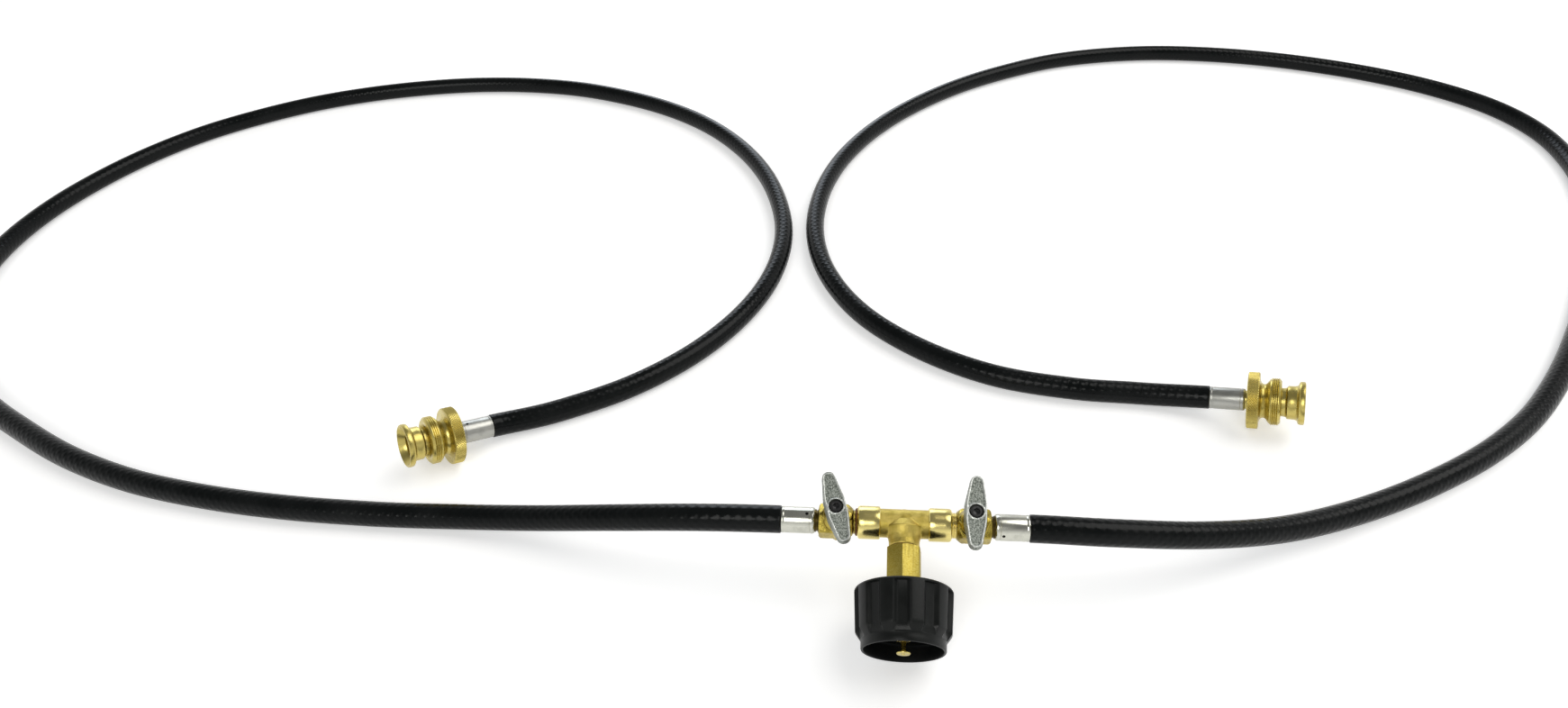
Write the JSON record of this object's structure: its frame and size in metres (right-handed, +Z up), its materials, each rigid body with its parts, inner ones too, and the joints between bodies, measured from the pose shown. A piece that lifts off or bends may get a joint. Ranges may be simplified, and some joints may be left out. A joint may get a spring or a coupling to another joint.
{
  "type": "two-outlet gas tank hose",
  "caption": "Gas hose assembly: hand-tightened tank nut, brass tee with lever ball valves, and looped hoses ending in knurled swivel outlets.",
  "frame": {"origin": "On the floor under the middle of the tee, valves and tank nut: bottom centre of their box, with the hoses and what hangs on them left out", "axes": "+X along the tee's run towards the right-hand valve, -Y the way the tank nut's mouth faces, +Z up from the floor"},
  "size_m": [1.139, 0.6555, 0.059],
  "materials": {
    "turned_brass": "bright turned, slightly brushed",
    "forged_brass": "sand-cast or forged skin with machined bands",
    "plated_steel": "bright zinc plating, crimped",
    "ball_steel": "polished",
    "black_steel": "black oxide",
    "cast_aluminium": "grey rough casting with a smooth rim",
    "nut_plastic": "matt moulded",
    "bushing_plastic": "matt moulded",
    "seat_plastic": "smooth white sealing plastic",
    "seal_rubber": "smooth",
    "hose_rubber": "satin black with a soft sheen"
  },
  "bodies": {
    "gas_manifold": {"tee_body": "forged_brass", "hex_adapter": "turned_brass", "tank_nozzle": "turned_brass", "thermal_bushing": "bushing_plastic", "probe_spring": "ball_steel", "probe_guide": "turned_brass", "left_valve_body": "forged_brass", "left_ball_seats": "seat_plastic", "left_stem_seal": "seal_rubber", "left_tailpiece": "turned_brass", "left_inlet_ferrule": "plated_steel", "left_hose_inlet_end": "hose_rubber", "left_hose": "hose_rubber", "left_hose_outlet_end": "hose_rubber", "left_outlet_ferrule": "plated_steel", "left_outlet_nozzle": "turned_brass", "right_valve_body": "forged_brass", "right_ball_seats": "seat_plastic", "right_stem_seal": "seal_rubber", "right_tailpiece": "turned_brass", "right_inlet_ferrule": "plated_steel", "right_hose_inlet_end": "hose_rubber", "right_hose": "hose_rubber", "right_hose_outlet_end": "hose_rubber", "right_outlet_ferrule": "plated_steel", "right_outlet_nozzle": "turned_brass"},
    "tank_nut": {"coupling_nut": "nut_plastic"},
    "tank_probe": {"probe_pin": "turned_brass"},
    "left_lever_set": {"left_lever": "cast_aluminium", "left_lever_screw": "black_steel", "left_stem": "turned_brass", "left_ball": "ball_steel"},
    "right_lever_set": {"right_lever": "cast_aluminium", "right_lever_screw": "black_steel", "right_stem": "turned_brass", "right_ball": "ball_steel"},
    "left_swivel": {"left_swivel_collar": "turned_brass"},
    "right_swivel": {"right_swivel_collar": "turned_brass"}
  },
  "joints": [
    {"name": "nut_spin", "type": "hinge", "parent": "gas_manifold", "child": "tank_nut", "pos_m": [0, -0.01322, 0.02292], "axis": [0, -0.9455, -0.3256], "continuous": true},
    {"name": "probe_slide", "type": "slide", "parent": "gas_manifold", "child": "tank_probe", "axis": [0, -0.9455, -0.3256], "range_m": [-0.002, 0], "stiffness_N_per_m": 300, "springref_m": 0.004, "deforming": ["probe_spring"]},
    {"name": "left_lever_turn", "type": "hinge", "parent": "gas_manifold", "child": "left_lever_set", "pos_m": [-0.0306, 0.0246, 0.03594], "axis": [0, -0.3256, 0.9455], "range_deg": [-16, 74]},
    {"name": "right_lever_turn", "type": "hinge", "parent": "gas_manifold", "child": "right_lever_set", "pos_m": [0.0306, 0.0246, 0.03594], "axis": [0, -0.3256, 0.9455], "range_deg": [-87, 3]},
    {"name": "left_outlet_spin", "type": "hinge", "parent": "gas_manifold", "child": "left_swivel", "pos_m": [-0.24, 0.0915, 0.01533], "axis": [-0.7399, -0.6209, 0.2588], "continuous": true},
    {"name": "right_outlet_spin", "type": "hinge", "parent": "gas_manifold", "child": "right_swivel", "pos_m": [0.189, 0.1375, 0.01539], "axis": [0.9285, -0.3017, 0.2164], "continuous": true}
  ]
}
